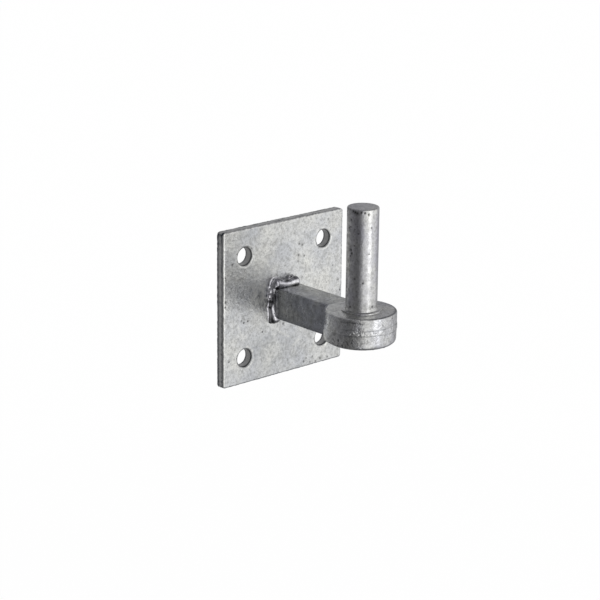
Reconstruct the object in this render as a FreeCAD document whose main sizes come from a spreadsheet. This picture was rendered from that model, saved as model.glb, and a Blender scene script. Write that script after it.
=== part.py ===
# A gate hinge pin on a square back plate: hot-dip galvanised steel, all sizes in millimetres.
# The origin is the middle of the plate's back face, which lies on the post. +Z is up along the pin,
# the arm runs out from the plate along -Y, and +X is to the right seen from the front.

import FreeCAD
import Part
import Sketcher

import math
import os

Vector = FreeCAD.Vector

SIZES = [
    # Back plate with its four bolt holes
    ("plate_width", 100.0),
    ("plate_height", 100.0),
    ("plate_thickness", 6.0),
    ("plate_corner_rounding", 2.2),
    ("plate_front_rounding", 1.4),
    ("plate_back_chamfer", 0.4),
    ("bolt_hole_width", 12.0),
    ("bolt_rim_chamfer", 0.4),
    ("bolt_spacing_across", 66.0),
    ("bolt_spacing_up", 66.0),
    # Square bar arm, a little below the plate's middle
    ("arm_width", 20.2),
    ("arm_height", 20.0),
    ("arm_drop", 1.4),
    ("arm_edge_rounding", 1.5),
    # Round boss forged on the arm's end
    ("boss_width", 43.4),
    ("boss_rim_chamfer", 0.8),
    ("boss_foot_rounding", 3.2),
    ("boss_draft", 2.0),
    ("neck_rounding", 6.0),
    ("neck_bite", 1.6),
    ("flash_thickness", 0.25),
    ("flash_height", 3.1),
    ("flash_rise", 9.5),
    # Upright pin through the boss
    ("pin_reach", 75.5),
    ("pin_width", 19.3),
    ("pin_length", 63.9),
    ("pin_tip_chamfer", 0.8),
    ("pin_root_ring", 0.8),
    # Weld beads in the corners between plate and arm
    ("bead_size", 4.6),
]

# The levels and places that follow from the sizes, as expressions on the sheet
FRONT = "sizes.plate_thickness"
ARM_TOP = "(sizes.arm_height / 2 - sizes.arm_drop)"
ARM_BOTTOM = "(-sizes.arm_height / 2 - sizes.arm_drop)"
ARM_SIDE = "(sizes.arm_width / 2)"
BOSS_RADIUS = "(sizes.boss_width / 2)"
PIN_RADIUS = "(sizes.pin_width / 2)"
FLASH_LOW = "(-sizes.arm_height / 2 - sizes.arm_drop + sizes.flash_rise)"
FLASH_HIGH = "(-sizes.arm_height / 2 - sizes.arm_drop + sizes.flash_rise + sizes.flash_height)"
LOW_WALL = "(sizes.boss_width / 2 - (sizes.flash_rise - sizes.boss_foot_rounding) * tan(sizes.boss_draft))"

# How far the arm's sides turn, in degrees, where they flare into the boss
NECK_TURN = 45.0

# Two numbers or points within this distance, in millimetres, are the same
SAME = 1e-4


def make_sheet(document):
    sheet = document.addObject("Spreadsheet::Sheet", "sizes")
    for row, (name, value) in enumerate(SIZES, start=1):
        sheet.set(f"A{row}", name)
        sheet.set(f"B{row}", str(value))
        sheet.setAlias(f"B{row}", name)
    document.recompute()
    return sheet


def size_of(item, expression):
    """The number that an expression on the sheet comes to."""
    value = item.evalExpression(expression)
    return float(getattr(value, "Value", value))


def new_body(document, name):
    body = document.addObject("PartDesign::Body", name)
    body.Label = name
    return body


def new_sketch(body, name, role, lift=None):
    """A sketch on one of the body's own planes, lifted off it by an expression."""
    sketch = body.newObject("Sketcher::SketchObject", name)
    plane = next(item for item in body.Origin.OriginFeatures if item.Role == role)
    sketch.AttachmentSupport = [(plane, "")]
    sketch.MapMode = "FlatFace"
    if lift:
        sketch.setExpression("AttachmentOffset.Base.z", lift)
    return sketch


def hold(sketch, kind, places, expression):
    """A dimension whose value follows the sheet."""
    value = size_of(sketch, expression)
    number = sketch.addConstraint(Sketcher.Constraint(kind, *places, value))
    sketch.setExpression(f"Constraints[{number}]", expression)


def hold_point(sketch, place, across, up):
    hold(sketch, "DistanceX", (-1, 1, *place), across)
    hold(sketch, "DistanceY", (-1, 1, *place), up)


def arc_between(start, end, radius):
    """The short arc from start to end, turning left, or right where the radius is negative."""
    chord = end - start
    middle = (start + end) * 0.5
    depth = math.sqrt(max(radius * radius - chord.Length ** 2 / 4, 0.0))
    side = Vector(-chord.y, chord.x, 0) / chord.Length
    centre = middle + side * math.copysign(depth, radius)
    crest = centre + (middle - centre).normalize() * abs(radius) if depth else middle - side * radius
    return Part.Arc(start, crest, end)


def draw_outline(sketch, corners, bends):
    """A closed outline: corners as pairs of expressions, bends as arc radii after a corner's number."""
    points = [Vector(size_of(sketch, across), size_of(sketch, up), 0) for across, up in corners]
    count = len(points)
    for number, start in enumerate(points):
        end = points[(number + 1) % count]
        if number in bends:
            sign, radius = bends[number]
            sketch.addGeometry(arc_between(start, end, sign * size_of(sketch, radius)), False)
        else:
            sketch.addGeometry(Part.LineSegment(start, end), False)
    ends = []
    for number, start in enumerate(points):
        # An arc that turns right is stored backwards, so its first point is its end.
        stored_start = sketch.getPoint(number, 1)
        forward = (stored_start - start).Length < SAME
        ends.append((1, 2) if forward else (2, 1))
    for number in range(count):
        after = (number + 1) % count
        places = (number, ends[number][1], after, ends[after][0])
        sketch.addConstraint(Sketcher.Constraint("Coincident", *places))
    for number, (across, up) in enumerate(corners):
        hold_point(sketch, (number, ends[number][0]), across, up)
    for number, (sign, radius) in bends.items():
        hold(sketch, "Radius", (number,), radius)


def edges_where(feature, test):
    """The names of a feature's edges whose middle and direction pass the test."""
    names = []
    for number, edge in enumerate(feature.Shape.Edges, start=1):
        if edge.Degenerated:
            continue
        middle = edge.valueAt((edge.FirstParameter + edge.LastParameter) / 2)
        ends = [vertex.Point for vertex in edge.Vertexes]
        if test(edge, middle, ends):
            names.append(f"Edge{number}")
    return names


def add_fillet(body, name, base, edges, expression):
    fillet = body.newObject("PartDesign::Fillet", name)
    fillet.Base = (base, edges)
    fillet.setExpression("Radius", expression)
    body.Document.recompute()
    return fillet


def add_chamfer(body, name, base, edges, expression):
    chamfer = body.newObject("PartDesign::Chamfer", name)
    chamfer.Base = (base, edges)
    chamfer.setExpression("Size", expression)
    body.Document.recompute()
    return chamfer


def near(first, second):
    return abs(first - second) < SAME


def make_back_plate(document):
    """A square of flat bar, its cut edges softened, with four bolt holes eased at the front."""
    body = new_body(document, "back_plate")
    outline = new_sketch(body, "plate_outline", "XZ_Plane")
    right = "(sizes.plate_width / 2)"
    top = "(sizes.plate_height / 2)"
    corners = [(f"-{right}", f"-{top}"), (right, f"-{top}"), (right, top), (f"-{right}", top)]
    draw_outline(outline, corners, {})
    slab = body.newObject("PartDesign::Pad", "plate_slab")
    slab.Profile = outline
    slab.setExpression("Length", "sizes.plate_thickness")
    document.recompute()

    upright = edges_where(slab, lambda edge, middle, ends: near(ends[0].x, ends[-1].x)
                          and near(ends[0].z, ends[-1].z))
    rounded = add_fillet(body, "plate_corners", slab, upright, "sizes.plate_corner_rounding")

    thickness = size_of(body, "sizes.plate_thickness")
    front = edges_where(rounded, lambda edge, middle, ends: all(near(point.y, -thickness) for point in ends))
    rounded = add_fillet(body, "plate_front_edges", rounded, front, "sizes.plate_front_rounding")
    back = edges_where(rounded, lambda edge, middle, ends: all(near(point.y, 0) for point in ends))
    eased = add_chamfer(body, "plate_back_edges", rounded, back, "sizes.plate_back_chamfer")

    marks = new_sketch(body, "bolt_hole_outline", "XZ_Plane")
    for number, (left, low) in enumerate([("-", "-"), ("", "-"), ("", ""), ("-", "")]):
        across = f"{left}(sizes.bolt_spacing_across / 2)"
        up = f"{low}(sizes.bolt_spacing_up / 2)"
        centre = Vector(size_of(marks, across), size_of(marks, up), 0)
        radius = size_of(marks, "sizes.bolt_hole_width / 2")
        marks.addGeometry(Part.Circle(centre, Vector(0, 0, 1), radius), False)
        hold_point(marks, (number, 3), across, up)
        hold(marks, "Radius", (number,), "sizes.bolt_hole_width / 2")
    holes = body.newObject("PartDesign::Pocket", "bolt_holes")
    holes.Profile = marks
    holes.Type = "ThroughAll"
    holes.Reversed = True
    document.recompute()
    if holes.Shape.Volume >= eased.Shape.Volume:
        raise RuntimeError("the bolt holes cut nothing")

    hole_radius = size_of(body, "sizes.bolt_hole_width / 2")
    rims = edges_where(holes, lambda edge, middle, ends: isinstance(edge.Curve, Part.Circle)
                       and near(edge.Curve.Radius, hole_radius) and near(middle.y, -thickness))
    add_chamfer(body, "bolt_hole_rims", holes, rims, "sizes.bolt_rim_chamfer")
    return body


def make_forged_arm(document):
    """A square bar whose end is forged into a round boss, with the trimmed flash line round the boss."""
    body = new_body(document, "forged_arm")

    # The bar in plan: straight sides that flare into the boss, then run inwards to its middle
    plan = new_sketch(body, "arm_plan", "XY_Plane", ARM_BOTTOM)
    flare_across = f"({ARM_SIDE} + sizes.neck_rounding * (1 - cos({NECK_TURN})))"
    flare_reach = f"(sizes.neck_rounding * sin({NECK_TURN}))"
    inside = f"({BOSS_RADIUS} - sizes.neck_bite)"
    flare_end = f"(-sizes.pin_reach + sqrt({inside} ^ 2 - {flare_across} ^ 2))"
    flare_start = f"({flare_end} + {flare_reach})"
    corners = [
        (f"-{ARM_SIDE}", f"-{FRONT}"),
        (f"-{ARM_SIDE}", flare_start),
        (f"-{flare_across}", flare_end),
        ("0", "-sizes.pin_reach"),
        (flare_across, flare_end),
        (ARM_SIDE, flare_start),
        (ARM_SIDE, f"-{FRONT}"),
    ]
    draw_outline(plan, corners, {1: (-1, "sizes.neck_rounding"), 4: (-1, "sizes.neck_rounding")})
    bar = body.newObject("PartDesign::Pad", "arm_bar")
    bar.Profile = plan
    bar.setExpression("Length", "sizes.arm_height")
    document.recompute()

    levels = (size_of(body, ARM_TOP), size_of(body, ARM_BOTTOM))
    side = size_of(body, ARM_SIDE)
    long_edges = edges_where(bar, lambda edge, middle, ends: near(ends[0].z, ends[-1].z)
                             and not near(ends[0].y, ends[-1].y) and abs(middle.x) > side - SAME)
    softened = add_fillet(body, "arm_long_edges", bar, long_edges, "sizes.arm_edge_rounding")

    # The boss in half section, turned about the pin's axis
    section = new_sketch(body, "boss_section", "XZ_Plane", "sizes.pin_reach")
    foot_across = f"({LOW_WALL} - sizes.boss_foot_rounding)"
    rim_across = f"({BOSS_RADIUS} - sizes.boss_rim_chamfer)"
    corners = [
        ("0", ARM_BOTTOM),
        (foot_across, ARM_BOTTOM),
        (LOW_WALL, f"({ARM_BOTTOM} + sizes.boss_foot_rounding)"),
        (BOSS_RADIUS, FLASH_LOW),
        (f"({BOSS_RADIUS} + sizes.flash_thickness)", f"({FLASH_LOW} + sizes.flash_thickness)"),
        (f"({BOSS_RADIUS} + sizes.flash_thickness)", f"({FLASH_HIGH} - sizes.flash_thickness)"),
        (BOSS_RADIUS, FLASH_HIGH),
        (BOSS_RADIUS, f"({ARM_TOP} - sizes.boss_rim_chamfer)"),
        (rim_across, ARM_TOP),
        ("0", ARM_TOP),
    ]
    draw_outline(section, corners, {1: (1, "sizes.boss_foot_rounding")})
    boss = body.newObject("PartDesign::Revolution", "boss")
    boss.Profile = section
    boss.ReferenceAxis = (section, ["V_Axis"])
    boss.Angle = 360.0
    document.recompute()

    # The bore, which the pin fills
    bore_outline = new_sketch(body, "pin_bore_outline", "XY_Plane", ARM_BOTTOM)
    bore_outline.addGeometry(Part.Circle(Vector(0, -size_of(body, "sizes.pin_reach"), 0), Vector(0, 0, 1),
                                         size_of(body, PIN_RADIUS)), False)
    hold_point(bore_outline, (0, 3), "0", "-sizes.pin_reach")
    hold(bore_outline, "Radius", (0,), PIN_RADIUS)
    bore = body.newObject("PartDesign::Pocket", "pin_bore")
    bore.Profile = bore_outline
    bore.Type = "ThroughAll"
    bore.Reversed = True
    document.recompute()
    if bore.Shape.Volume >= boss.Shape.Volume:
        raise RuntimeError("the pin's bore cuts nothing")
    return body


def make_hinge_pin(document):
    """A round bar in the boss's bore, flush beneath it, with a ring of zinc on the boss round its root."""
    body = new_body(document, "hinge_pin")
    section = new_sketch(body, "pin_section", "XZ_Plane", "sizes.pin_reach")
    tip = f"({ARM_TOP} + sizes.pin_length)"
    corners = [
        ("0", ARM_BOTTOM),
        (PIN_RADIUS, ARM_BOTTOM),
        (PIN_RADIUS, ARM_TOP),
        (f"({PIN_RADIUS} + sizes.pin_root_ring)", ARM_TOP),
        (PIN_RADIUS, f"({ARM_TOP} + sizes.pin_root_ring)"),
        (PIN_RADIUS, f"({tip} - sizes.pin_tip_chamfer)"),
        (f"({PIN_RADIUS} - sizes.pin_tip_chamfer)", tip),
        ("0", tip),
    ]
    draw_outline(section, corners, {})
    bar = body.newObject("PartDesign::Revolution", "pin_bar")
    bar.Profile = section
    bar.ReferenceAxis = (section, ["V_Axis"])
    bar.Angle = 360.0
    document.recompute()
    return body


# Each run of weld metal is a lumpy bar round a line that lies along its corner. The lumps are shares of
# the line's length, each with the bar's radius there as a share of bead_size.
TOP_LUMPS = [
    (0.0, 0.26), (0.075, 0.65), (0.23, 0.85), (0.51, 0.59), (0.69, 0.74), (0.83, 1.0),
    (0.93, 0.76), (1.0, 0.40),
]
LEFT_LUMPS = [(0.0, 0.30), (0.10, 0.68), (0.22, 0.73), (0.50, 0.54), (0.88, 0.80), (1.0, 0.61)]
RIGHT_LUMPS = [(0.0, 0.30), (0.12, 0.68), (0.50, 0.54), (0.84, 0.80), (1.0, 0.34)]
TOE_LUMPS = [(0.0, 0.48), (0.19, 0.83), (0.60, 0.76), (1.0, 0.24)]

# The two ends of each run's line. First is the place along the corner: a share of the arm's half width
# from its middle, or of its height from its underside. Then come the distances off the plate and off the
# arm, as shares of bead_size.
TOP_LINE = [(-1.24, -0.15, 0.49), (1.0, 0.45, 0.06)]
TOE_LINE = [(-1.22, 0.18, 0.15), (-0.25, 0.18, 0.15)]
LEFT_LINE = [(1.02, 0.07, 0.24), (-0.08, 0.20, 0.09)]
RIGHT_LINE = [(0.97, 0.10, 0.20), (-0.06, 0.20, 0.12)]


def off_plate_front(share):
    return f"(-{FRONT} - {share} * sizes.bead_size)"


def across_arm(level, side, line):
    """The ends of a line over the arm (side 1) or under it (side -1), as expressions."""
    return [(f"({place} * {ARM_SIDE})", off_plate_front(off_plate),
             f"({level} + {side * off_arm} * sizes.bead_size)") for place, off_plate, off_arm in line]


def beside_arm(side, line):
    """The ends of a line on the arm's right (side 1) or left (side -1), as expressions."""
    return [(f"({side} * ({ARM_SIDE} + {off_arm} * sizes.bead_size))", off_plate_front(off_plate),
             f"({ARM_BOTTOM} + {place} * sizes.arm_height)") for place, off_plate, off_arm in line]


def add_run(document, name, ends, lumps):
    """A lumpy bar between two ends, each given as three expressions on the sheet."""
    body = new_body(document, name)
    start, end = ends
    spans = [f"({last} - {first}) ^ 2" for first, last in zip(start, end)]
    length = f"sqrt({' + '.join(spans)})"
    profile = new_sketch(body, f"{name}_profile", "XZ_Plane")
    corners = [("0", "0")]
    corners += [(f"{share} * {length}", f"{swell} * sizes.bead_size") for share, swell in lumps]
    corners.append((length, "0"))
    draw_outline(profile, corners, {})
    bar = body.newObject("PartDesign::Revolution", f"{name}_bar")
    bar.Profile = profile
    bar.ReferenceAxis = (profile, ["H_Axis"])
    bar.Angle = 360.0
    heading = Vector(*(size_of(body, f"{last} - {first}") for first, last in zip(start, end)))
    body.Placement = FreeCAD.Placement(Vector(), FreeCAD.Rotation(Vector(1, 0, 0), heading))
    for axis, expression in zip("xyz", start):
        body.setExpression(f"Placement.Base.{axis}", expression)
    document.recompute()
    return body


def seat_bead(document, name, metal, neighbours):
    """The weld metal less what it lies on, so that it meets its neighbours face to face."""
    shape = metal
    for neighbour in neighbours:
        cut = document.addObject("Part::Cut", f"{name}_on_{neighbour.Label}")
        cut.Base = shape
        cut.Tool = neighbour
        cut.Refine = False
        shape = cut
    shape.Label = name
    document.recompute()
    return shape


def make_top_bead(document, plate, arm):
    """The pass over the arm, fat at both ends and thin in the middle."""
    run = add_run(document, "top_run", across_arm(ARM_TOP, 1, TOP_LINE), TOP_LUMPS)
    return seat_bead(document, "weld_top", run, [arm, plate])


def make_left_bead(document, plate, arm, top_bead):
    """The pass down the arm's left side, which turns under its lower corner."""
    side_run = add_run(document, "left_run", beside_arm(-1, LEFT_LINE), LEFT_LUMPS)
    toe_run = add_run(document, "toe_run", across_arm(ARM_BOTTOM, -1, TOE_LINE), TOE_LUMPS)
    metal = document.addObject("Part::Fuse", "left_metal")
    metal.Base = side_run
    metal.Tool = toe_run
    return seat_bead(document, "weld_left", metal, [arm, plate, top_bead])


def make_right_bead(document, plate, arm, top_bead):
    """The pass down the arm's right side, which stops at its lower corner."""
    run = add_run(document, "right_run", beside_arm(1, RIGHT_LINE), RIGHT_LUMPS)
    return seat_bead(document, "weld_right", run, [arm, plate, top_bead])


def check(document, pieces):
    for item in document.Objects:
        if "Invalid" in item.State or "Error" in item.State:
            raise RuntimeError(f"{item.Label} failed: {item.State}")
    for piece in pieces:
        shape = piece.Shape
        if shape.isNull() or not shape.isValid() or len(shape.Solids) != 1:
            raise RuntimeError(f"{piece.Label} is not one valid solid")


def write(pieces):
    os.makedirs("parts", exist_ok=True)
    for piece in pieces:
        piece.Shape.exportStep(os.path.join("parts", f"{piece.Label}.step"))
        print(f"{piece.Label}: {piece.Shape.Volume:.0f} mm3")


def main():
    document = FreeCAD.newDocument("gate_hinge_pin")
    make_sheet(document)
    plate = make_back_plate(document)
    arm = make_forged_arm(document)
    pin = make_hinge_pin(document)
    top_bead = make_top_bead(document, plate, arm)
    left_bead = make_left_bead(document, plate, arm, top_bead)
    right_bead = make_right_bead(document, plate, arm, top_bead)
    pieces = [plate, arm, pin, top_bead, left_bead, right_bead]
    document.recompute()
    check(document, pieces)
    write(pieces)


main()
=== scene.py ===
# A gate hinge pin: a square back plate with four bolt holes, a square bar arm that ends in a round forged
# boss, an upright pin in the boss, and the weld beads between arm and plate. It is hot-dip galvanised all
# over. Sizes are in millimetres, and each piece becomes metres when its mesh is made. The frame is the
# CAD's: y = 0 is the plate's back, the arm runs out along -Y, and +Z is up along the pin.

import math

import bmesh
import bpy
from mathutils import Matrix, Vector, noise


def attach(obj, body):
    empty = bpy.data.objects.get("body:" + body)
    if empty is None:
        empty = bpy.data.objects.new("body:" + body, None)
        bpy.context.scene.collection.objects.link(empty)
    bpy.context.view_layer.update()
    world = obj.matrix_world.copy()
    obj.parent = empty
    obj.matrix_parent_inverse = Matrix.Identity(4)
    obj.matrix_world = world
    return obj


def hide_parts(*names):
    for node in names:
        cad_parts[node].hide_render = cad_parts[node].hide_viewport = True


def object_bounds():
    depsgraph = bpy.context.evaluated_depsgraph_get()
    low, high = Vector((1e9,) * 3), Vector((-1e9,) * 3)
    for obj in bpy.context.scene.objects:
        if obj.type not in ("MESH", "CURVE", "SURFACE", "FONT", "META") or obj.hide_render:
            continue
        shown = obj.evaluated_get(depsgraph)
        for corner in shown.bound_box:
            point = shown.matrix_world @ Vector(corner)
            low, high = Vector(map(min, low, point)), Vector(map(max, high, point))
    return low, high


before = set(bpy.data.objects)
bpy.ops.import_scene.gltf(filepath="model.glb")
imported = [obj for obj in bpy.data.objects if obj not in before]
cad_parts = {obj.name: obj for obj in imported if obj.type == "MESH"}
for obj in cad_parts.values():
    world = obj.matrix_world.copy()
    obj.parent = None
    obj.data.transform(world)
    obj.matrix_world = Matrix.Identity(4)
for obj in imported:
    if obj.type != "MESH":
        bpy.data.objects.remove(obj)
cad_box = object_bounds()

MM = 0.001

# Sizes shared by several pieces, as in the part's source
PLATE_FRONT = -6.0
ARM_HALF = 10.1
ARM_TOP = 8.6
ARM_BOTTOM = -11.4
PIN_REACH = -75.5
BOSS_RADIUS = 21.7
PIN_RADIUS = 9.65


# Camera
# Fitted to the plate's corners and bolt holes in the photograph, whose frame is 600 by 600 pixels

CAMERA_AZIMUTH = math.radians(42.363)
CAMERA_ELEVATION = math.radians(16.836)
CAMERA_ROLL = math.radians(0.646)
CAMERA_DISTANCE = 1244.97 * MM
CAMERA_TARGET = Vector((18.877, 0, -6.717)) * MM
SENSOR_WIDTH = 36.0
FOCAL_PIXELS = 1950.6
FRAME_PIXELS = 600


def make_camera():
    across = math.sin(CAMERA_AZIMUTH), math.cos(CAMERA_AZIMUTH)
    back = Vector((-across[0] * math.cos(CAMERA_ELEVATION), -across[1] * math.cos(CAMERA_ELEVATION),
                   math.sin(CAMERA_ELEVATION)))
    right = Vector((across[1], -across[0], 0))
    turn = Matrix.Rotation(CAMERA_ROLL, 3, back)
    right = turn @ right
    up = back.cross(right)
    data = bpy.data.cameras.new("camera")
    data.sensor_width = SENSOR_WIDTH
    data.lens = SENSOR_WIDTH * FOCAL_PIXELS / FRAME_PIXELS
    data.clip_start = 0.01
    data.clip_end = 20
    camera = bpy.data.objects.new("camera", data)
    camera.matrix_world = Matrix.Translation(CAMERA_TARGET + back * CAMERA_DISTANCE) @ \
        Matrix((right, up, back)).transposed().to_4x4()
    bpy.context.scene.collection.objects.link(camera)
    bpy.context.scene.camera = camera


make_camera()


# Nodes

def linear(code):
    """A colour written as sRGB hex, as linear light with full cover."""
    shares = [int(code[place:place + 2], 16) / 255 for place in (1, 3, 5)]
    light = [share / 12.92 if share <= 0.04045 else ((share + 0.055) / 1.055) ** 2.4 for share in shares]
    return (*light, 1.0)


def add(tree, kind, settings=None, inputs=None):
    """A node with its settings, and its inputs as plain values or as other nodes' sockets."""
    item = tree.nodes.new(kind)
    for name, value in (settings or {}).items():
        setattr(item, name, value)
    for name, value in (inputs or {}).items():
        if isinstance(value, bpy.types.NodeSocket):
            tree.links.new(value, item.inputs[name])
        else:
            item.inputs[name].default_value = value
    return item


# Studio
# White all round, one tall softbox in front, and a grey paper wrap at the left, behind and at the right,
# which the camera doesn't see. The wrap gives the metal its dark sides, as in the photograph.

def seen_rays(tree):
    """1 for what the camera sees, straight or in metal or glass, and 0 for the light that falls on things."""
    path = add(tree, "ShaderNodeLightPath")
    glossy = add(tree, "ShaderNodeMath", {"operation": "MAXIMUM"},
                 {0: path.outputs["Is Camera Ray"], 1: path.outputs["Is Glossy Ray"]})
    return add(tree, "ShaderNodeMath", {"operation": "MAXIMUM"},
               {0: glossy.outputs[0], 1: path.outputs["Is Transmission Ray"]}).outputs[0]


def make_world():
    world = bpy.data.worlds.new("white_studio")
    bpy.context.scene.world = world
    world.use_nodes = True
    tree = world.node_tree
    tree.nodes.clear()
    around = add(tree, "ShaderNodeBackground", None, {"Color": linear("#F2F2F4"), "Strength": 0.8})
    white = add(tree, "ShaderNodeBackground", None, {"Color": (1, 1, 1, 1), "Strength": 1.0})
    mixed = add(tree, "ShaderNodeMixShader", None,
                {0: seen_rays(tree), 1: around.outputs[0], 2: white.outputs[0]})
    add(tree, "ShaderNodeOutputWorld", None, {"Surface": mixed.outputs[0]})


STUDIO_MIDDLE = Vector((0, -45, 5)) * MM


def add_softbox(name, azimuth, elevation, distance, width, height, glow):
    """A rectangular lamp that faces the object, glow times as bright as the white background."""
    turn = math.radians(azimuth)
    rise = math.radians(elevation)
    out = Vector((math.sin(turn) * math.cos(rise), -math.cos(turn) * math.cos(rise), math.sin(rise)))
    data = bpy.data.lights.new(name, "AREA")
    data.shape = "RECTANGLE"
    data.size = width
    data.size_y = height
    data.energy = glow * math.pi * width * height
    lamp = bpy.data.objects.new(name, data)
    lamp.matrix_world = Matrix.Translation(STUDIO_MIDDLE + out * distance) @ \
        out.to_track_quat("Z", "Y").to_matrix().to_4x4()
    bpy.context.scene.collection.objects.link(lamp)


def add_stage(name, bm, material):
    mesh = bpy.data.meshes.new(name)
    bm.to_mesh(mesh)
    bm.free()
    mesh.materials.append(material)
    piece = bpy.data.objects.new(name, mesh)
    bpy.context.scene.collection.objects.link(piece)
    return piece


# How bright the wrap is at each azimuth from the front, in degrees, as the pin in the photograph shows it
WRAP_SHADES = [
    (-180, 0.25), (-135, 0.26), (-112, 0.21), (-95, 0.14), (-72, 0.11), (-60, 0.16), (-50, 0.27), (-36, 0.55),
    (64, 0.85), (85, 0.48), (120, 0.42), (180, 0.25),
]
WRAP_START = 64
WRAP_END = 324
WRAP_RADIUS = 0.7


def make_wrap():
    """The wrap: a wall and a strip of ground, spun round the object from its right to its left."""
    bm = bmesh.new()
    line = [(0.10, -0.34), (WRAP_RADIUS, -0.34), (WRAP_RADIUS, 0.8)]
    start = math.radians(WRAP_START)
    verts = [bm.verts.new((across * math.sin(start), -across * math.cos(start), up)) for across, up in line]
    edges = [bm.edges.new(pair) for pair in zip(verts, verts[1:])]
    bmesh.ops.spin(bm, geom=verts + edges, cent=(0, 0, 0), axis=(0, 0, 1),
                   angle=math.radians(WRAP_END - WRAP_START), steps=52)
    bmesh.ops.translate(bm, vec=(STUDIO_MIDDLE.x, STUDIO_MIDDLE.y, 0), verts=bm.verts)
    material = bpy.data.materials.new("grey_paper_wrap")
    material.use_nodes = True
    tree = material.node_tree
    tree.nodes.clear()
    place = add(tree, "ShaderNodeTexCoord").outputs["Object"]
    moved = add(tree, "ShaderNodeMapping", None, {"Vector": place, "Location": -STUDIO_MIDDLE}).outputs[0]
    parts = add(tree, "ShaderNodeSeparateXYZ", None, {0: moved})
    ahead = add(tree, "ShaderNodeMath", {"operation": "MULTIPLY"}, {0: parts.outputs["Y"], 1: -1.0}).outputs[0]
    turn = add(tree, "ShaderNodeMath", {"operation": "ARCTAN2"}, {0: parts.outputs["X"], 1: ahead}).outputs[0]
    share = add(tree, "ShaderNodeMapRange", None,
                {"Value": turn, "From Min": -math.pi, "From Max": math.pi}).outputs[0]
    ramp = add(tree, "ShaderNodeValToRGB", None, {0: share})
    stops = ramp.color_ramp.elements
    while len(stops) < len(WRAP_SHADES):
        stops.new(0.5)
    for stop, (azimuth, shade) in zip(stops, WRAP_SHADES):
        stop.position = (azimuth + 180) / 360
    for stop, (azimuth, shade) in zip(stops, WRAP_SHADES):
        stop.color = (shade, shade, shade * 1.04, 1)
    paper = add(tree, "ShaderNodeEmission", None, {"Color": ramp.outputs[0], "Strength": 1.0})
    add(tree, "ShaderNodeOutputMaterial", None, {"Surface": paper.outputs[0]})
    wrap = add_stage("grey_wrap", bm, material)
    wrap.visible_camera = False
    wrap.visible_shadow = False


def make_floor():
    """A white floor well below the object, so its shadow is faint. From beneath it isn't seen."""
    bm = bmesh.new()
    bmesh.ops.create_grid(bm, x_segments=1, y_segments=1, size=6.0)
    bmesh.ops.translate(bm, vec=(0, 0, -0.35), verts=bm.verts)
    material = bpy.data.materials.new("white_studio_paper")
    material.use_nodes = True
    tree = material.node_tree
    tree.nodes.clear()
    share = add(tree, "ShaderNodeMath", {"operation": "MULTIPLY"}, {0: seen_rays(tree), 1: 0.99}).outputs[0]
    paper = add(tree, "ShaderNodeBsdfDiffuse", None, {"Color": (1, 1, 1, 1)})
    white = add(tree, "ShaderNodeEmission", None, {"Color": (1, 1, 1, 1), "Strength": 1.0})
    lit = add(tree, "ShaderNodeMixShader", None, {0: share, 1: paper.outputs[0], 2: white.outputs[0]})
    side = add(tree, "ShaderNodeNewGeometry")
    clear = add(tree, "ShaderNodeBsdfTransparent")
    sheet = add(tree, "ShaderNodeMixShader", None,
                {0: side.outputs["Backfacing"], 1: lit.outputs[0], 2: clear.outputs[0]})
    add(tree, "ShaderNodeOutputMaterial", None, {"Surface": sheet.outputs[0]})
    add_stage("floor", bm, material)


def hang_grey_disc(name, radius, level, colour):
    """A round sheet level over or under the object, which dims the light from there. The camera doesn't
    see it."""
    bm = bmesh.new()
    bmesh.ops.create_circle(bm, cap_ends=True, segments=64, radius=radius)
    bmesh.ops.translate(bm, vec=(STUDIO_MIDDLE.x, STUDIO_MIDDLE.y, level), verts=bm.verts)
    material = bpy.data.materials.new(name)
    material.use_nodes = True
    material.node_tree.nodes.clear()
    even = add(material.node_tree, "ShaderNodeEmission", None, {"Color": linear(colour), "Strength": 1.0})
    add(material.node_tree, "ShaderNodeOutputMaterial", None, {"Surface": even.outputs[0]})
    disc = add_stage(name, bm, material)
    disc.visible_camera = False
    disc.visible_shadow = False


make_world()
make_floor()
make_wrap()
hang_grey_disc("grey_ceiling", 0.8, 0.62, "#8C8C90")
hang_grey_disc("grey_ground", 0.17, -0.34, "#88888A")
add_softbox("softbox", 8, -4, 0.9, 0.28, 1.1, 1.3)
bpy.context.scene.view_settings.view_transform = "Standard"


# Finishes

def mix_in(tree, share, under, over):
    """One colour laid over another by a share, each given as a socket or a colour."""
    return add(tree, "ShaderNodeMix", {"data_type": "RGBA"}, {0: share, 6: under, 7: over}).outputs[2]


def shares(tree, pattern, low, high, strength=1.0):
    """A pattern spread out between two of its levels, from none to that strength."""
    return add(tree, "ShaderNodeMapRange", None,
               {"Value": pattern, "From Min": low, "From Max": high, "To Max": strength}).outputs[0]


def uneven(tree, place, size, detail, twist=0.0):
    """Smooth unevenness with patches of about that size in millimetres."""
    return add(tree, "ShaderNodeTexNoise", None,
               {"Vector": place, "Scale": 1 / (size * MM), "Detail": detail, "Roughness": 0.6,
                "Distortion": twist}).outputs[0]


def times(tree, first, second):
    return add(tree, "ShaderNodeMath", {"operation": "MULTIPLY"}, {0: first, 1: second}).outputs[0]


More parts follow.
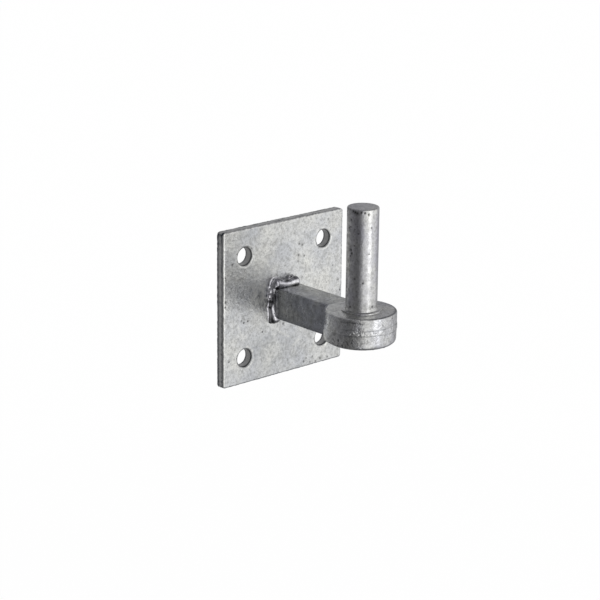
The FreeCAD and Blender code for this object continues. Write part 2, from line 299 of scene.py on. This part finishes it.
def zinc(name, light, dark, cool, dull_and_shade_colour, flows, specks, rough, relief, pits):
    """Hot-dip galvanised steel. The steel went through molten zinc and cooled in air, so its coat is a
    satin metal with soft clouds of lighter and cooler grey, fine flow marks and mottling, and small dark
    pits where ash and dross lay. The colours are for bright, dark, cool and dulled zinc; the bright one
    also paints highlights and the dulled one also paints shade."""
    material = bpy.data.materials.new(name)
    material.use_nodes = True
    tree = material.node_tree
    tree.nodes.clear()
    place = add(tree, "ShaderNodeTexCoord").outputs["Object"]

    # Clouds about 22 mm across, flow marks of 8 mm, mottling of 2.2 mm and grain of 0.9 mm. Real grain is
    # finer, and 0.9 mm is the finest that shows here.
    clouds = uneven(tree, place, 22, 3.0)
    flow = uneven(tree, place, 8, 3.0, 1.6)
    mottle = uneven(tree, place, 2.2, 2.0)
    grain = uneven(tree, place, 0.9, 1.0)
    colour = mix_in(tree, shares(tree, clouds, 0.36, 0.64), linear(cool), linear(light))
    colour = mix_in(tree, shares(tree, flow, 0.42, 0.75, flows), colour, linear(dark))
    colour = mix_in(tree, shares(tree, mottle, 0.45, 0.75, specks), colour, linear(dark))
    colour = mix_in(tree, shares(tree, grain, 0.50, 0.78, specks), colour, linear(dark))

    # Pits of about 0.5 mm, in a few of the 3 mm cells, and none where the flow marks are light
    cells = add(tree, "ShaderNodeTexVoronoi", None, {"Vector": place, "Scale": 1 / (3 * MM)})
    chosen = shares(tree, cells.outputs["Color"], 1 - pits, 1.02 - pits)
    core = add(tree, "ShaderNodeMapRange", None,
               {"Value": cells.outputs["Distance"], "From Min": 0.14, "From Max": 0.22, "To Min": 1.0,
                "To Max": 0.0}).outputs[0]
    small_pits = times(tree, times(tree, chosen, core), shares(tree, flow, 0.4, 0.55))

    # What each piece carries on its own vertices: bright clean zinc and painted highlights, dulled zinc and
    # painted shade, and its larger pits
    marks = {mark: add(tree, "ShaderNodeAttribute", {"attribute_name": mark}).outputs["Fac"] for mark in MARKS}
    colour = mix_in(tree, marks["bright_and_highlight"], colour, linear(light))
    colour = mix_in(tree, marks["dull_and_shade"], colour, linear(dull_and_shade_colour))
    pitted = add(tree, "ShaderNodeMath", {"operation": "MAXIMUM"},
                 {0: marks["pitted"], 1: times(tree, small_pits, 0.75)}).outputs[0]
    colour = mix_in(tree, pitted, colour, linear("#1C1814"))

    roughness = add(tree, "ShaderNodeMapRange", None,
                    {"Value": flow, "From Min": 0.3, "From Max": 0.7, "To Min": rough - 0.2 * flows,
                     "To Max": rough + 0.2 * flows}).outputs[0]
    height = add(tree, "ShaderNodeMath", {"operation": "MULTIPLY_ADD"},
                 {0: grain, 1: 0.5, 2: mottle}).outputs[0]
    sunk = add(tree, "ShaderNodeMath", {"operation": "SUBTRACT"}, {0: height, 1: small_pits}).outputs[0]
    bump = add(tree, "ShaderNodeBump", None, {"Strength": 1.0, "Distance": relief * MM, "Height": sunk})
    coat = add(tree, "ShaderNodeBsdfPrincipled", None,
               {"Base Color": colour, "Metallic": 1.0, "Roughness": roughness, "Normal": bump.outputs[0]})
    add(tree, "ShaderNodeOutputMaterial", None, {"Surface": coat.outputs[0]})
    return material


MARKS = ("dull_and_shade", "pitted", "bright_and_highlight")

ZINC_ON_FLAT_BAR = zinc("hot_dip_zinc_on_flat_bar", light="#E6E6E2", dark="#8C8C8A", cool="#D2D4D7",
                        dull_and_shade_colour="#3E4650", flows=0.25, specks=0.56, rough=0.37, relief=0.20, pits=0.10)
ZINC_ON_FORGING = zinc("hot_dip_zinc_on_forging", light="#E2E2DE", dark="#706E6C", cool="#C0C2CA",
                       dull_and_shade_colour="#2E343A", flows=0.32, specks=0.50, rough=0.31, relief=0.22, pits=0.22)
ZINC_ON_ROUND_BAR = zinc("hot_dip_zinc_on_round_bar", light="#DEDEDA", dark="#747472", cool="#C4C4CC",
                         dull_and_shade_colour="#3A3A3A", flows=0.16, specks=0.44, rough=0.31, relief=0.14, pits=0.20)
ZINC_ON_WELD = zinc("hot_dip_zinc_on_weld", light="#EEEDF0", dark="#908E94", cool="#CCCBD2",
                    dull_and_shade_colour="#434345", flows=0.24, specks=0.24, rough=0.14, relief=0.08, pits=0.0)


# Making pieces

def finish_bmesh(bm, name):
    """A mesh in metres from a bmesh in millimetres, and an object for it."""
    bmesh.ops.remove_doubles(bm, verts=bm.verts, dist=1e-4)
    bmesh.ops.recalc_face_normals(bm, faces=bm.faces)
    bmesh.ops.scale(bm, vec=(MM, MM, MM), verts=bm.verts)
    mesh = bpy.data.meshes.new(name)
    bm.to_mesh(mesh)
    bm.free()
    piece = bpy.data.objects.new(name, mesh)
    bpy.context.scene.collection.objects.link(piece)
    return piece


def apply_modifiers(piece):
    bpy.context.view_layer.update()
    solid = piece.evaluated_get(bpy.context.evaluated_depsgraph_get())
    mesh = bpy.data.meshes.new_from_object(solid)
    piece.modifiers.clear()
    piece.data = mesh
    return mesh


def coat_over(piece, grain):
    """Joins a piece's overlapping forms under one even skin, as the zinc does, with faces of that size."""
    skin = piece.modifiers.new("skin", "REMESH")
    skin.mode = "VOXEL"
    skin.voxel_size = grain * MM
    skin.adaptivity = 0.0
    return apply_modifiers(piece)


def soften(piece, turns, chosen=None):
    """Smooths a mesh, or those of its vertices that chosen says, that many times."""
    bm = bmesh.new()
    bm.from_mesh(piece.data)
    verts = [vert for vert in bm.verts if chosen is None or chosen(vert.co / MM)]
    for _ in range(turns):
        bmesh.ops.smooth_vert(bm, verts=verts, factor=0.5, use_axis_x=True, use_axis_y=True, use_axis_z=True)
    bm.to_mesh(piece.data)
    bm.free()


def work_surface(piece, rule):
    """Moves each vertex along its normal and marks it. The rule takes the vertex's place in millimetres
    and its normal, and gives the height in millimetres, the dulled zinc and painted shade, the pits, and
    the bright zinc and painted highlights there."""
    mesh = piece.data
    marks = [rule(vert.co / MM, vert.normal) for vert in mesh.vertices]
    places = []
    for vert, mark in zip(mesh.vertices, marks):
        moved = vert.co + vert.normal * mark[0] * MM
        places.extend(min(max(value, low), high) for value, low, high in zip(moved, *cad_box))
    mesh.vertices.foreach_set("co", places)
    for number, name in enumerate(MARKS, start=1):
        layer = mesh.attributes.new(name, "FLOAT", "POINT")
        layer.data.foreach_set("value", [min(max(mark[number], 0.0), 1.0) for mark in marks])
    mesh.shade_smooth()
    mesh.update()


def dress(piece, node, material):
    piece.data.materials.clear()
    piece.data.materials.append(material)
    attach(piece, "root")
    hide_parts(node)


def swell(place, size, seed):
    """Smooth unevenness from -1 to 1, with lumps of about that size in millimetres."""
    return noise.noise(place / size + Vector((seed, 2 * seed, 3 * seed)))


def bell(distance, reach):
    return math.exp(-(distance / reach) ** 2)


# Back plate

PLATE_HALF = 50.0
PLATE_CORNER = 1.8
PLATE_FRONT_ROUNDING = 1.1
PLATE_BACK_ROUNDING = 0.4

# The back is made this much too far out, then pressed flat at the post, which keeps its edge crisp
PLATE_SPARE = 0.4
HOLE_RADIUS = 5.35
HOLE_FLARE = 0.35
HOLE_LIP_WIDE = 1.0
HOLE_LIP_DEEP = 0.55

# The bolt holes' middles, across and up: punched by eye, so up to 0.6 mm off the even pattern
HOLES = [(-32.5, 32.4), (33.0, 32.9), (-32.5, -33.1), (32.9, -32.7)]

# Pits on the plate's front: across, up, radius and depth
PLATE_PITS = [
    (37.3, 44.8, 0.6, 0.3), (41.6, 13.5, 0.6, 0.3), (11.9, 25.6, 0.9, 0.2), (16.7, 24.3, 0.7, 0.15),
    (12.3, 32.9, 0.7, 0.15), (15.0, 31.6, 0.8, 0.15), (11.4, 21.6, 0.6, 0.15), (-0.5, -17.2, 0.9, 0.35),
    (-35.3, -8.3, 0.6, 0.25), (17.3, -46.1, 0.8, 0.2), (22.7, -47.7, 0.7, 0.2), (24.8, -44.3, 0.6, 0.15),
    (31.5, -47.0, 0.8, 0.2), (27.7, -48.2, 0.7, 0.2), (38.1, -47.5, 0.6, 0.2), (19.4, -44.4, 0.6, 0.2),
    (-42.5, 29.0, 0.7, 0.25), (-48.2, 3.0, 0.6, 0.3), (-47.9, 6.3, 0.8, 0.3), (46.4, 3.2, 0.6, 0.2),
]

# Pale scuffs on the plate's front, each from one point to another: across, up, across and up
PLATE_SCUFFS = [
    (-16.2, 28.0, -10.0, 18.2), (-4.8, -20.6, 4.4, -27.0), (-24.0, 24.0, -20.0, 19.5), (8.0, -33.0, 13.0, -30.0),
    (20.0, 20.0, 24.0, 12.0), (-38.0, -12.0, -34.0, -20.0),
]

# Duller patches on the plate's front: across, up, half width, half height and strength
PLATE_CLOUDS = [
    (-17.0, -12.0, 6.0, 8.0, 0.05), (-12.0, -34.0, 40.0, 18.0, 0.20), (-30.0, 42.0, 9.0, 6.0, 0.06),
    (-21.0, 2.0, 3.0, 7.0, 0.12),
]


def spin_round(bm, outline, centre, axis, steps):
    """A closed round solid: an outline of pairs, radius and place along the axis, spun about the axis."""
    aside = Vector((1, 0, 0))
    verts = [bm.verts.new(centre + aside * radius + axis * along) for radius, along in outline]
    edges = [bm.edges.new(pair) for pair in zip(verts, verts[1:])]
    bmesh.ops.spin(bm, geom=verts + edges, cent=centre, axis=axis, angle=2 * math.pi, steps=steps,
                   use_merge=True)
    bmesh.ops.remove_doubles(bm, verts=bm.verts, dist=1e-4)


def make_drill():
    """What the four bolt holes take away, each with a lip that opens at the front."""
    bm = bmesh.new()
    outline = [(0, 5), (HOLE_RADIUS, 5), (HOLE_RADIUS, PLATE_FRONT / 3),
               (HOLE_RADIUS + HOLE_FLARE, PLATE_FRONT + HOLE_LIP_DEEP),
               (HOLE_RADIUS + HOLE_FLARE + 2 * HOLE_LIP_WIDE, PLATE_FRONT - HOLE_LIP_DEEP),
               (0, PLATE_FRONT - HOLE_LIP_DEEP)]
    for across, up in HOLES:
        spin_round(bm, outline, Vector((across, 0, up)), Vector((0, 1, 0)), 64)
    return finish_bmesh(bm, "drill")


def make_back_plate():
    bm = bmesh.new()
    bmesh.ops.create_cube(bm, size=1.0)
    bmesh.ops.scale(bm, vec=(2 * PLATE_HALF, PLATE_SPARE - PLATE_FRONT, 2 * PLATE_HALF), verts=bm.verts)
    bmesh.ops.translate(bm, vec=(0, (PLATE_FRONT + PLATE_SPARE) / 2, 0), verts=bm.verts)
    through = [edge for edge in bm.edges if abs(edge.verts[0].co.y - edge.verts[1].co.y) > 1]
    bmesh.ops.bevel(bm, geom=through, offset=PLATE_CORNER, segments=6, profile=0.5, affect="EDGES", material=-1)
    for level, radius in ((PLATE_FRONT, PLATE_FRONT_ROUNDING), (PLATE_SPARE, PLATE_BACK_ROUNDING)):
        around = [edge for edge in bm.edges if all(abs(vert.co.y - level) < 1e-4 for vert in edge.verts)]
        bmesh.ops.bevel(bm, geom=around, offset=radius, segments=4, profile=0.5, affect="EDGES", material=-1)
    piece = finish_bmesh(bm, "back_plate_coated")
    drill = make_drill()
    cut = piece.modifiers.new("holes", "BOOLEAN")
    cut.operation = "DIFFERENCE"
    cut.object = drill
    apply_modifiers(piece)
    bpy.data.objects.remove(drill)
    coat_over(piece, 0.5)
    soften(piece, 1)

    def rule(place, normal):
        height = 0.05 * swell(place, 18.0, 1) + 0.02 * swell(place, 5.0, 2)
        dull_and_shade = 0.0
        pitted = 0.0
        bright_and_highlight = 0.0
        if normal.y < -0.5:
            for across, up, radius, depth in PLATE_PITS:
                distance = math.hypot(place.x - across, place.z - up)
                if distance < 3 * radius:
                    share = bell(distance, radius)
                    height -= depth * share
                    pitted = max(pitted, 0.8 * share)
            # Beside the weld the zinc is painted lighter, a painted pool of light, in patches that are partly
            # dulled, and it is darker in patches close beside the weld
            by_weld = bell(math.hypot((place.x + 20) / 10, (place.z - 4) / 12), 1.0)
            patchy = swell(place, 3.2, 35) + 0.8 * swell(place, 1.4, 36)
            bright_and_highlight = by_weld * (0.8 - 0.9 * patchy)
            dull_and_shade += 0.35 * by_weld * max(patchy, 0.0)
            beside = bell(math.hypot((place.x + 15) / 4, (place.z - 3) / 7), 1.0)
            dull_and_shade += beside * max(0.18 + 0.4 * patchy, 0.0)
            for across, up, across_end, up_end in PLATE_SCUFFS:
                run = Vector((across_end - across, up_end - up))
                here = Vector((place.x - across, place.z - up))
                along = min(max(here.dot(run) / run.length_squared, 0.0), 1.0)
                bright_and_highlight += 0.9 * bell((here - run * along).length, 0.7) * (0.6 + swell(place, 1.5, 29))
            for across, up, wide, tall, strength in PLATE_CLOUDS:
                far = math.hypot((place.x - across) / wide, (place.z - up) / tall)
                patchy = 1 + 0.6 * swell(place, 4.0, 5) + 0.5 * swell(place, 1.8, 17)
                dull_and_shade += strength * bell(far, 1.0) * patchy
        if abs(normal.y) < 0.97 and max(abs(place.x), abs(place.z)) > PLATE_HALF - 3:
            # The sheared edges: marks across the thickness, lumps of zinc, and darker along the back, along the
            # front and at the top left corner. On the front's rounding a painted highlight lies where the left
            # and the top are rounded over, and painted shade at the bottom and the right
            sheared = swell(Vector((place.x / 1.4, place.y / 5.0, place.z / 1.4)), 1.0, 18)
            lumpy = swell(place, 1.7, 19)
            height += 0.10 * sheared - 0.05 + 0.14 * lumpy
            height += 0.38 * max(swell(place, 1.6, 34), 0.0) * (normal.z > 0.2) * (normal.y < -0.2)
            if normal.y < -0.35:
                # Painted highlight on the left and top of the front's rounding, painted shade on its bottom and
                # right
                bright_and_highlight = (0.9 + 0.5 * lumpy) * (normal.x < -0.1) + (0.5 + 1.2 * lumpy) * (normal.z > 0.2)
                dull_and_shade += 0.6 * (normal.z < -0.3) + 0.8 * (normal.x > 0.5)
            else:
                dull_and_shade += max(0.4 * sheared + 0.3 * swell(place, 2.2, 20) + 0.4 * swell(place, 1.0, 31), 0.0)
                bright_and_highlight = 0.95
                dull_and_shade += 0.95 * bell(place.y + 0.6, 0.8) + 0.85 * bell(place.y - PLATE_FRONT - 1.2, 0.6)
                dull_and_shade += 0.9 * bell(math.hypot(place.x + PLATE_HALF, place.z - PLATE_HALF), 3.0)
                if normal.z > 0.5:
                    bright_and_highlight = 1.0
                    dull_and_shade = 0.5 * dull_and_shade + 0.9 * swell(Vector((place.x / 9, place.y / 1.4, 0)), 1.0, 33)
        from_hole = min(math.hypot(place.x - across, place.z - up) for across, up in HOLES)
        if from_hole < HOLE_RADIUS + 1 and abs(normal.y) < 0.9:
            # The bolt holes' walls: streaked, with painted shade as a dark line at the front lip and at the back
            streak = swell(Vector((place.x / 0.8, place.y / 4.0, place.z / 0.8)), 1.0, 25)
            bright_and_highlight = 1.0
            pitted = 0.12 + 0.2 * max(streak, 0.0)
            dull_and_shade += 0.9 * bell(place.y + 0.4, 0.7) + 0.9 * bell(place.y - PLATE_FRONT - 0.9, 0.5)
        elif from_hole < HOLE_RADIUS + 5:
            # A low raised ring of zinc round each hole, at its lip, painted lighter there as a painted highlight
            ring = bell(from_hole - HOLE_RADIUS - 1.9, 0.8)
            height += 0.12 * ring
            bright_and_highlight += ring * (0.3 + 1.2 * swell(place, 1.6, 30))
        return height, dull_and_shade, pitted, bright_and_highlight

    work_surface(piece, rule)
    dress(piece, "back_plate", ZINC_ON_FLAT_BAR)


# Forged arm

FLASH_LOW = ARM_BOTTOM + 9.5
FLASH_HIGH = FLASH_LOW + 3.1
BOSS_DRAFT = math.radians(2)
BULGE_TOP = -0.4
BOSS_RIM = 0.9
BOSS_FOOT = 3.2
ARM_EDGE = 1.4


def at_neck(place):
    """Where the bar's sides flow into the boss."""
    return -62.0 < place.y < -52.0 and 8.0 < abs(place.x) < 14.0


def flash_marks(place):
    """The trimmed flash round the boss: a ragged band, a dark line along each of its edges, and the boss
    a little out of round beneath it, on the left."""
    ragged = 0.35 * swell(place, 9.0, 7) + 0.12 * swell(place, 2.0, 26)
    low = FLASH_LOW + ragged
    high = FLASH_HIGH - ragged
    height = 0.10 * swell(place, 6.0, 6) + 0.05 * swell(place, 1.6, 21)
    dull_and_shade = 0.0
    turn = math.degrees(math.atan2(place.x, PIN_REACH - place.y))
    if low < place.z < high:
        edge = min(place.z - low, high - place.z)
        height += 0.22 * min(edge / 0.35, 1.0) + (0.12 + 0.26 * bell(turn + 56, 22)) * swell(place, 1.1, 8)
    else:
        height -= 0.18 * bell(min(abs(place.z - low), abs(place.z - high)), 0.40)
        dull_and_shade += (0.35 + 0.5 * bell(turn + 44, 26)) * bell(place.z - low, 0.40)
        dull_and_shade += (0.15 + 0.45 / (1 + math.exp(-(turn + 38) / 6))) * bell(place.z - high, 0.40)
    below = 1 / (1 + math.exp((place.z - BULGE_TOP) / 0.8))
    height += 0.9 * bell(turn + 132, 26) * below

    # A short lap in the forging, high on the left, and dark scale caught low on the left
    lap = bell(place.z - 6.4 + 0.0016 * (turn + 62) ** 2, 0.5) * bell(turn + 56, 14)
    height -= 0.3 * lap
    dull_and_shade += (0.8 + swell(place, 2.0, 32)) * lap
    scale = swell(place, 1.1, 27) * bell(turn + 84, 30) * bell(place.z + 7.0, 4.0)
    dull_and_shade += max(2.0 * scale - 0.1, 0.0)
    return height, dull_and_shade


def make_forged_arm():
    bm = bmesh.new()

    # The boss: its half section spun about the pin's axis, then rounded at the rim and at the foot
    foot_radius = BOSS_RADIUS - (FLASH_LOW - ARM_BOTTOM) * math.tan(BOSS_DRAFT)
    outline = [(0, ARM_BOTTOM), (foot_radius, ARM_BOTTOM), (BOSS_RADIUS, FLASH_LOW), (BOSS_RADIUS, ARM_TOP),
               (0, ARM_TOP)]
    spin_round(bm, outline, Vector((0, PIN_REACH, 0)), Vector((0, 0, 1)), 96)
    for level, radius, segments in ((ARM_TOP, BOSS_RIM, 4), (ARM_BOTTOM, BOSS_FOOT, 6)):
        rim = [edge for edge in bm.edges if all(
            abs(vert.co.z - level) < 1e-3 and math.hypot(vert.co.x, vert.co.y - PIN_REACH) > 15
            for vert in edge.verts)]
        bmesh.ops.bevel(bm, geom=rim, offset=radius, segments=segments, profile=0.5, affect="EDGES",
                        material=-1)

    # The square bar, with its long edges rounded
    bar = bmesh.ops.create_cube(bm, size=1.0)["verts"]
    length = PLATE_FRONT - PIN_REACH
    bmesh.ops.scale(bm, vec=(2 * ARM_HALF, length, ARM_TOP - ARM_BOTTOM), verts=bar)
    bmesh.ops.translate(bm, vec=(0, (PLATE_FRONT + PIN_REACH) / 2, (ARM_TOP + ARM_BOTTOM) / 2), verts=bar)
    inside = set(bar)
    long_edges = [edge for edge in bm.edges if edge.verts[0] in inside and edge.verts[1] in inside
                  and abs(edge.verts[0].co.y - edge.verts[1].co.y) > 1]
    bmesh.ops.bevel(bm, geom=long_edges, offset=ARM_EDGE, segments=4, profile=0.5, affect="EDGES", material=-1)
    piece = finish_bmesh(bm, "forged_arm_coated")
    coat_over(piece, 0.36)
    soften(piece, 1)
    soften(piece, 30, at_neck)

    def rule(place, normal):
        out = Vector((place.x, place.y - PIN_REACH, 0))
        height = 0.035 * swell(place, 9.0, 3) + 0.02 * swell(place, 3.0, 4)
        pitted = 0.0
        dull_and_shade = 0.0
        bright_and_highlight = 0.0
        if place.z > ARM_TOP - 0.5 and place.y < -56.0:
            # Painted shade as a dark line along the front of the boss's rim, which fades on the left
            front = 1 / (1 + math.exp((-35 - math.degrees(math.atan2(out.x, -out.y))) / 8))
            dull_and_shade += 0.75 * front * bell(out.length - BOSS_RADIUS + BOSS_RIM, 0.6)
            # The left of the boss's top is rougher and lighter
            rough = 1 / (1 + math.exp(place.x / 2))
            bright_and_highlight = 0.5 * rough * (1 + 0.8 * swell(place, 2.0, 39))
            height += 0.10 * rough * swell(place, 1.8, 40)
            dull_and_shade += 0.5 * rough * max(swell(place, 1.5, 41) - 0.1, 0.0)
        # Painted shade along the foot of the boss, darker towards the bottom
        if place.z < ARM_BOTTOM + 2.5 and (place.y < -56.0 and out.length > BOSS_RADIUS - 3.5):
            dull_and_shade += 0.80 * bell(place.z - ARM_BOTTOM, 1.7)
        if out.length > BOSS_RADIUS - 2 and abs(normal.z) < 0.6 and place.y < -56.0:
            raised, shaded = flash_marks(place)
            height += raised
            dull_and_shade += shaded
        elif place.y > -56.0:
            # The bar: duller than the boss, with painted shade on its sides and along its lower edges, and
            # darker beside the weld
            dull_and_shade += 0.26 + 0.08 * (abs(normal.x) > 0.7) + 0.12 * swell(place, 5.0, 22)
            dull_and_shade += 0.14 * bell(place.y - PLATE_FRONT + 2, 4.5) * (1 + 0.5 * swell(place, 2.0, 23))
            dull_and_shade += 0.45 * bell(place.z - ARM_BOTTOM, 1.2) * (normal.z > -0.9)
        speck = swell(place, 1.7, 9)
        if speck > 0.5:
            height -= 0.5 * (speck - 0.5)
            pitted += 1.5 * (speck - 0.5)
        pimple = swell(place, 1.5, 16)
        if pimple > 0.5:
            height += 0.7 * (pimple - 0.5)
        return height, dull_and_shade, pitted, bright_and_highlight

    work_surface(piece, rule)
    dress(piece, "forged_arm", ZINC_ON_FORGING)


# Hinge pin

PIN_TIP = 72.5
PIN_RIM = 0.9

# The zinc that drained down the pin set as a low collar at its foot: radius and height over the boss
PIN_COLLAR = [
    (12.5, -1.0), (12.45, 0.2), (12.3, 0.55), (12.0, 0.70), (11.6, 0.72), (10.8, 0.64), (10.3, 0.66),
    (10.1, 0.80), (10.05, 1.1), (9.9, 1.5), (9.75, 2.0), (9.65, 2.6),
]

# Pits on the pin: angle round it from the front in degrees (left is negative), level, radius and depth
PIN_PITS = [
    (-81, 71.3, 0.8, 0.20), (-73, 70.8, 1.0, 0.30), (-66, 70.3, 1.0, 0.30), (-52, 71.0, 0.7, 0.25),
    (-39, 70.7, 0.7, 0.25), (-25, 69.6, 0.7, 0.30), (-90, 65.8, 0.6, 0.25), (-101, 60.6, 0.8, 0.25),
    (-10, 61.4, 0.5, 0.20), (-60, 58.0, 0.5, 0.15), (-89, 47.4, 0.9, 0.35), (-85, 45.4, 0.9, 0.35),
    (-91, 43.6, 0.6, 0.25), (-70, 30.0, 0.5, 0.15), (-42, 27.6, 0.6, 0.25), (0, 12.2, 0.7, 0.30),
    (-88, 12.0, 0.6, 0.25),
]


def in_short_steps(outline, longest):
    """The same outline with points added, so that no step along it is longer than that."""
    points = [outline[0]]
    for first, second in zip(outline, outline[1:]):
        steps = max(math.ceil(math.dist(first, second) / longest), 1)
        for step in range(1, steps + 1):
            share = step / steps
            points.append((first[0] + (second[0] - first[0]) * share, first[1] + (second[1] - first[1]) * share))
    return points


def make_hinge_pin():
    bm = bmesh.new()
    outline = [(0, ARM_BOTTOM), (PIN_RADIUS, ARM_BOTTOM), (PIN_RADIUS, ARM_TOP - 1.5)]
    outline += [(radius, ARM_TOP + level) for radius, level in PIN_COLLAR]
    for step in range(7):
        lean = math.radians(15 * step)
        outline.append((PIN_RADIUS - PIN_RIM * (1 - math.cos(lean)), PIN_TIP - PIN_RIM * (1 - math.sin(lean))))
    outline.append((0, PIN_TIP))
    spin_round(bm, in_short_steps(outline, 0.32), Vector((0, PIN_REACH, 0)), Vector((0, 0, 1)), 190)
    piece = finish_bmesh(bm, "hinge_pin_coated")

    def rule(place, normal):
        height = 0.012 * swell(place, 12.0, 11) + 0.008 * swell(place, 3.5, 12) + 0.008 * swell(place, 1.5, 24)
        pitted = 0.0
        dull_and_shade = 0.0
        if abs(normal.z) < 0.8:
            turn = math.degrees(math.atan2(place.x, PIN_REACH - place.y))
            for angle, level, radius, depth in PIN_PITS:
                round_way = math.radians(turn - angle) * PIN_RADIUS
                distance = math.hypot(round_way, place.z - level)
                if distance < 3 * radius:
                    share = bell(distance, radius)
                    height -= depth * share
                    pitted = max(pitted, 0.9 * share)
            # The left side is darker, painted shade mottled by a pattern, and rougher
            left = bell(turn + 112, 32)
            dull_and_shade = left * (0.22 + 0.5 * swell(place, 2.0, 37))
            # Painted shade on the collar at the pin's foot, on the left and on the right
            if place.z < ARM_TOP + 1.2:
                dull_and_shade += 0.3 * bell(turn + 90, 45) + 0.3 * bell(turn - 60, 35)
            height += 0.06 * left * swell(place, 1.6, 38)
        return height, dull_and_shade, pitted, 0.0

    work_surface(piece, rule)
    dress(piece, "hinge_pin", ZINC_ON_ROUND_BAR)


# Weld beads
# Each bead is a chain of molten drops: the middle of each in x, y and z, and its radius. Its stains are
# where the zinc took badly and shows dark, and on the top bead they are painted shade along its foot and
# its top: across, up, half width, half height and strength.

TOP_DROPS = [
    (-10.2, -7.8, 9.4, 2.1), (-9.6, -8.5, 11.2, 2.7), (-8.6, -9.0, 11.9, 3.1), (-6.8, -9.3, 11.2, 3.0),
    (-4.8, -9.4, 10.5, 2.9), (-2.2, -9.4, 10.1, 2.9), (0.2, -9.4, 10.0, 2.9), (2.4, -9.4, 10.1, 2.9),
    (4.2, -9.4, 10.4, 3.0), (5.7, -9.3, 10.6, 3.3), (6.6, -8.8, 9.8, 2.9), (6.0, -7.4, 8.8, 2.2),
    (2.4, -7.4, 8.6, 2.1), (-2.2, -7.4, 8.6, 2.1), (-7.2, -7.4, 9.6, 2.4), (-9.0, -7.4, 10.4, 2.4),
]
# Painted shade along the top bead's foot and on its top
TOP_PAINTED_SHADE = [
    (-10.0, 8.4, 1.6, 1.6, 0.8), (-4.0, 8.6, 4.0, 0.8, 0.8), (4.6, 8.9, 3.6, 0.9, 0.9),
    (5.8, 13.3, 2.4, 1.0, 0.9), (-2.4, 12.6, 3.4, 0.9, 0.9), (-7.4, 14.2, 1.8, 1.4, 0.7),
]
LEFT_DROPS = [
    (-10.7, -7.6, 8.0, 1.9), (-10.9, -7.8, 6.6, 2.2), (-11.1, -7.9, 3.6, 2.3), (-10.9, -8.0, 0.3, 2.1),
    (-11.2, -7.8, -2.0, 2.1), (-11.6, -7.6, -4.2, 2.2), (-11.2, -7.7, -6.6, 2.3), (-10.6, -7.9, -9.0, 2.6),
    (-10.2, -7.5, -11.5, 3.0), (-8.0, -7.0, -12.6, 2.3), (-5.4, -6.6, -13.0, 1.4),
]
LEFT_STAINS = [
    (-11.9, 2.4, 1.1, 5.6, 1.5), (-13.8, 0.4, 1.0, 1.2, 1.2), (-14.0, -3.4, 0.9, 0.9, 1.0),
    (-9.0, -14.2, 4.4, 1.8, 1.8), (-12.5, -11.6, 1.3, 1.3, 0.8),
]
LEFT_SPATTER = [(-12.9, -7.0, 6.9, 1.6), (-13.6, -6.9, 3.5, 1.5)]
RIGHT_DROPS = [
    (11.2, -6.8, 5.2, 2.0), (11.3, -6.8, 3.6, 2.6), (11.1, -6.7, 1.2, 2.6), (10.9, -6.6, -1.2, 2.2),
    (10.9, -6.7, -3.8, 2.3), (11.0, -6.8, -6.4, 2.7), (11.0, -6.9, -8.8, 3.1), (10.6, -6.7, -11.0, 2.3),
]
RIGHT_STAINS = [(10.8, 0.0, 2.5, 2.5, 0.8)]
SKIRT_HEIGHT = 0.9
SKIRT_SUNK = 0.3


def make_bead(name, node, drops, spatter, stains_and_shade, spread):
    """Drops melted together: each a sphere, with one between each and the next. Those that reach the
    plate sit on a low skirt of zinc that spreads that far round them. Spatter is single drops stuck on."""
    bm = bmesh.new()
    for across, depth, up, radius in spatter:
        bmesh.ops.create_icosphere(bm, subdivisions=3, radius=radius,
                                   matrix=Matrix.Translation((across, depth, up)))
    chain = []
    for first, second in zip(drops, drops[1:]):
        chain.append(first)
        chain.append(tuple((one + other) / 2 for one, other in zip(first, second)))
    chain.append(drops[-1])
    turn = Matrix.Rotation(math.pi / 2, 4, "X")
    for across, depth, up, radius in chain:
        bmesh.ops.create_icosphere(bm, subdivisions=3, radius=radius,
                                   matrix=Matrix.Translation((across, depth, up)))
        if depth + radius < PLATE_FRONT - 0.2:
            continue
        slope = (radius / 2 + spread) / SKIRT_HEIGHT
        middle = Matrix.Translation((across, PLATE_FRONT + (SKIRT_SUNK - SKIRT_HEIGHT) / 2, up))
        bmesh.ops.create_cone(bm, cap_ends=True, segments=32,
                              radius1=radius + spread + slope * SKIRT_SUNK, radius2=radius / 2,
                              depth=SKIRT_HEIGHT + SKIRT_SUNK, matrix=middle @ turn)
    piece = finish_bmesh(bm, name)
    coat_over(piece, 0.2)
    soften(piece, 4)

    def rule(place, normal):
        height = 0.16 * swell(place, 2.3, 13) + 0.03 * swell(place, 0.9, 14)
        dull_and_shade = 0.5 * swell(place, 2.2, 15) + 0.3 * swell(place, 0.9, 28)
        # Stains darken the zinc, and on the top bead this is painted shade
        for across, up, wide, tall, strength in stains_and_shade:
            dull_and_shade += strength * bell(math.hypot((place.x - across) / wide, (place.z - up) / tall), 1.0)
        bright_and_highlight = 0.0
        # The zinc on and round each spatter drop is lighter, without its stains
        for across, depth, up, radius in spatter:
            by_drop = bell((place - Vector((across, depth, up))).length, 1.3 * radius)
            bright_and_highlight += by_drop
            dull_and_shade -= 2 * by_drop
        return height, dull_and_shade, 0.0, bright_and_highlight

    work_surface(piece, rule)
    dress(piece, node, ZINC_ON_WELD)


make_back_plate()
make_forged_arm()
make_hinge_pin()
make_bead("weld_top_metal", "weld_top", TOP_DROPS, [], TOP_PAINTED_SHADE, 0.1)
make_bead("weld_left_metal", "weld_left", LEFT_DROPS, LEFT_SPATTER, LEFT_STAINS, 0.7)
make_bead("weld_right_metal", "weld_right", RIGHT_DROPS, [], RIGHT_STAINS, 0.8)
